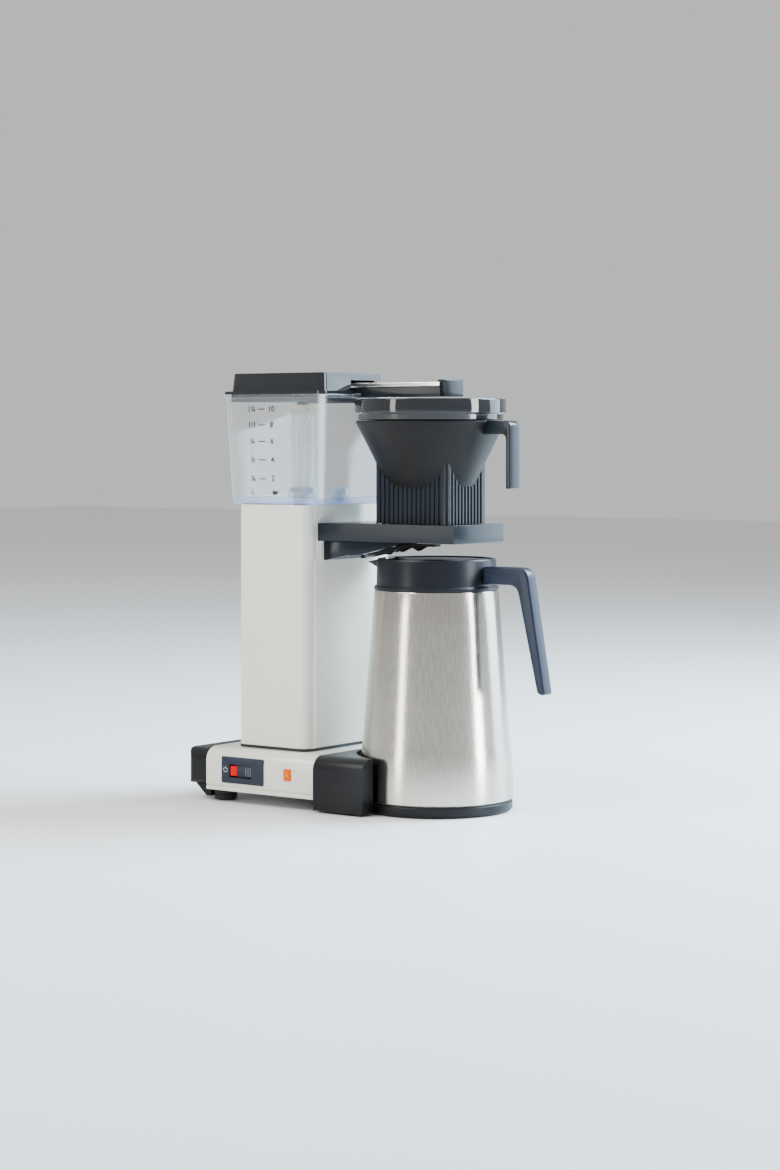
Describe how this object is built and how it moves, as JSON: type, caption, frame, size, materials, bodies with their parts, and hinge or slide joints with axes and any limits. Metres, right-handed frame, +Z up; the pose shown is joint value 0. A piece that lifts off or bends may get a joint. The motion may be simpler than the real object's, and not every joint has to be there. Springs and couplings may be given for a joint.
{
  "type": "drip coffee maker",
  "caption": "Filter coffee maker: low base, tall column, clear water tank, outlet arm over a cone basket, and a thermal carafe in a round cradle.",
  "frame": {"origin": "bottom centre of the whole machine, on the counter", "axes": "+X from the base's end cap to the carafe's handle, +Y to the back, +Z up; the front with the switch faces -Y"},
  "size_m": [0.339, 0.17, 0.3865],
  "materials": {
    "cream": "satin cream paint",
    "black": "fine satin moulded black",
    "slate": "smooth dark slate plastic",
    "gloss": "polished black plastic",
    "navy": "satin blue-black plastic",
    "red": "red key plastic",
    "amber": "translucent amber lens",
    "rubber": "matt rubber",
    "clear": "clear moulded copolyester",
    "glass": "clear borosilicate",
    "ivory": "ivory moulded plastic",
    "silicone": "milky silicone",
    "steel": "fine vertical brushing",
    "bright": "bright brushed metal",
    "copper": "drawn copper"
  },
  "bodies": {
    "machine": {"base_housing": "cream", "base_end_cap": "black", "base_plate": "steel", "foot_front": "rubber", "foot_rear": "rubber", "carafe_cradle": "black", "cradle_pad_front": "rubber", "cradle_pad_rear": "rubber", "cord_gland": "black", "switch_panel": "navy", "switch_body": "black", "pilot_lamp": "amber", "column_housing": "cream", "column_gasket": "rubber", "column_top_plate": "steel", "boiler_tube": "copper", "boiler_cap_top": "silicone", "boiler_cap_bottom": "silicone", "heating_element": "steel", "element_clamp": "steel", "thermostat": "ivory", "thermal_fuse": "ivory", "riser_hose": "silicone", "riser_seal": "silicone", "glass_tube": "glass", "tube_collar": "ivory", "inlet_hose_upper": "silicone", "check_valve": "ivory", "inlet_hose_lower": "silicone", "terminal_block": "ivory", "wire_loom": "rubber", "tank": "clear", "outlet_strainer": "clear", "outlet_arm": "slate", "arm_top_plate": "bright", "arm_end_cap": "slate", "basket_bracket": "slate", "bracket_screw_front": "steel", "bracket_screw_rear": "steel", "bracket_gusset": "slate", "lever_pin": "steel"},
    "rocker": {"rocker_red": "red", "rocker_key": "navy"},
    "tank_lid": {"tank_lid": "gloss"},
    "drip_stop_lever": {"drip_stop_lever": "black"},
    "drip_valve": {"drip_valve": "silicone"},
    "basket": {"brew_basket": "black", "basket_handle": "black", "basket_lid": "gloss"},
    "carafe": {"carafe_base": "black", "carafe_shell": "steel", "carafe_liner": "steel", "carafe_collar": "black", "carafe_handle": "navy"},
    "carafe_lid": {"carafe_lid": "black", "lid_tube": "black", "lid_seal": "silicone"}
  },
  "joints": [
    {"name": "rocker_tilt", "type": "hinge", "parent": "machine", "child": "rocker", "pos_m": [-0.10396, -0.0805, 0.0289], "axis": [0, 0, -1], "range_deg": [0, 14]},
    {"name": "tank_lid_lift", "type": "slide", "parent": "machine", "child": "tank_lid", "axis": [0, 0, 1], "range_m": [0, 0.06]},
    {"name": "basket_pull", "type": "slide", "parent": "machine", "child": "basket", "axis": [1, 0, 0], "range_m": [0, 0.14]},
    {"name": "carafe_pull", "type": "slide", "parent": "machine", "child": "carafe", "axis": [1, 0, 0], "range_m": [0, 0.18]},
    {"name": "carafe_lid_turn", "type": "hinge", "parent": "carafe", "child": "carafe_lid", "pos_m": [0.05149, 0, 0.214], "axis": [0, 0, 1], "range_deg": [0, 90]},
    {"name": "lever_swing", "type": "hinge", "parent": "machine", "child": "drip_stop_lever", "pos_m": [-0.02151, 0, 0.229], "axis": [0, -1, 0], "range_deg": [0, 5]},
    {"name": "valve_lift", "type": "slide", "parent": "machine", "child": "drip_valve", "axis": [0, 0, 1], "range_m": [0, 0.004]}
  ],
  "couplings": [
    {"joint": "valve_lift", "follows": "lever_swing", "m_per_rad": 0.0458}
  ]
}
